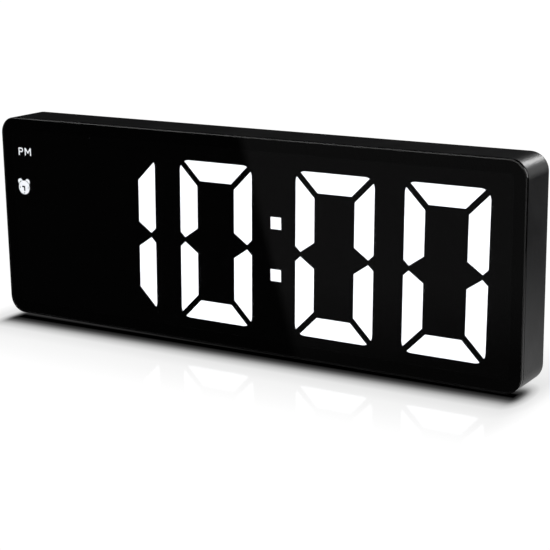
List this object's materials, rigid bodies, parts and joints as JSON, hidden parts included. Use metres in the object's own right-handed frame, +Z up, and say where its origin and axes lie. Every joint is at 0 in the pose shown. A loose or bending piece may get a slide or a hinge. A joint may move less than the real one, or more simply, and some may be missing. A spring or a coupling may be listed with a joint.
{
  "type": "digital alarm clock",
  "caption": "Slim upright digital alarm clock: smoked full-width front lens with large lit digits, rear push buttons, sound slider, charging socket and round battery door.",
  "frame": {"origin": "middle of the clock's footprint, at the height of the surface it stands on", "axes": "+X to the right seen from the front, -Y out of the lens, +Y out of the rear cover, +Z up"},
  "size_m": [0.162, 0.0144, 0.0583],
  "materials": {
    "smoked_acrylic": "polished smoked acrylic",
    "black_tape": "matt black foam tape",
    "housing_plastic": "satin black moulded plastic",
    "cover_plastic": "fine-textured black moulded plastic",
    "door_plastic": "fine-textured black moulded plastic",
    "black_steel": "blackened steel",
    "foot_rubber": "soft black rubber",
    "label_film": "blank silver film",
    "frame_plastic": "matt black",
    "lit_guide": "milky light guide, lit",
    "dark_guide": "milky light guide behind smoked lacquer, unlit",
    "led_phosphor": "pale yellow phosphor",
    "board_laminate": "green solder mask",
    "bright_steel": "tinned steel",
    "switch_plastic": "dark moulded resin",
    "cell_steel": "nickel-plated steel",
    "holder_plastic": "black moulded plastic",
    "contact_nickel": "plated spring bronze",
    "can_aluminium": "drawn aluminium can",
    "black_felt": "black felt",
    "chip_resin": "black moulding resin",
    "ceramic_tan": "tan ceramic",
    "thermistor_bead": "glossy coated bead",
    "button_plastic": "satin dark grey plastic",
    "plunger_plastic": "white acetal"
  },
  "bodies": {
    "case": {"front_lens": "smoked_acrylic", "lens_tape": "black_tape", "housing": "housing_plastic", "rear_cover": "cover_plastic", "cover_screws": "black_steel", "left_foot": "foot_rubber", "right_foot": "foot_rubber", "rating_label": "label_film", "light_frame": "frame_plastic", "hour_tens_segments": "lit_guide", "hour_units_segments": "lit_guide", "minute_tens_segments": "lit_guide", "minute_units_segments": "lit_guide", "colon_dots": "lit_guide", "pm_sign": "lit_guide", "alarm_sign": "lit_guide", "sign_print": "frame_plastic", "unlit_segments": "dark_guide", "segment_leds": "led_phosphor", "circuit_board": "board_laminate", "board_screws": "bright_steel", "switch_bodies": "switch_plastic", "switch_covers": "bright_steel", "slide_switch_case": "bright_steel", "slide_switch_base": "switch_plastic", "coin_cell": "cell_steel", "cell_holder": "holder_plastic", "positive_contact": "contact_nickel", "negative_contact": "contact_nickel", "usb_shell": "bright_steel", "usb_tongue": "holder_plastic", "buzzer": "holder_plastic", "microphone": "can_aluminium", "microphone_felt": "black_felt", "clock_chip": "chip_resin", "driver_chips": "chip_resin", "chip_legs": "bright_steel", "crystal": "can_aluminium", "filter_capacitors": "can_aluminium", "chip_resistors": "chip_resin", "chip_capacitors": "ceramic_tan", "transistors": "chip_resin", "thermistor": "thermistor_bead"},
    "set_key": {"set_button": "button_plastic", "set_plunger": "plunger_plastic"},
    "up_key": {"up_button": "button_plastic", "up_plunger": "plunger_plastic"},
    "down_key": {"down_button": "button_plastic", "down_plunger": "plunger_plastic"},
    "alarm_key": {"alarm_button": "button_plastic", "alarm_plunger": "plunger_plastic"},
    "sound_slider": {"sound_knob": "button_plastic"},
    "door": {"battery_door": "door_plastic"}
  },
  "joints": [
    {"name": "set_press", "type": "slide", "parent": "case", "child": "set_key", "axis": [0, -1, 0], "range_m": [0, 0.0003], "stiffness_N_per_m": 1500},
    {"name": "up_press", "type": "slide", "parent": "case", "child": "up_key", "axis": [0, -1, 0], "range_m": [0, 0.0003], "stiffness_N_per_m": 1500},
    {"name": "down_press", "type": "slide", "parent": "case", "child": "down_key", "axis": [0, -1, 0], "range_m": [0, 0.0003], "stiffness_N_per_m": 1500},
    {"name": "alarm_press", "type": "slide", "parent": "case", "child": "alarm_key", "axis": [0, -1, 0], "range_m": [0, 0.0003], "stiffness_N_per_m": 1500},
    {"name": "sound_slide", "type": "slide", "parent": "case", "child": "sound_slider", "axis": [1, 0, 0], "range_m": [0, 0.002]},
    {"name": "door_turn", "type": "hinge", "parent": "case", "child": "door", "pos_m": [-0.048, 0.006, 0.029], "axis": [0, 1, 0], "range_deg": [0, 45]}
  ]
}
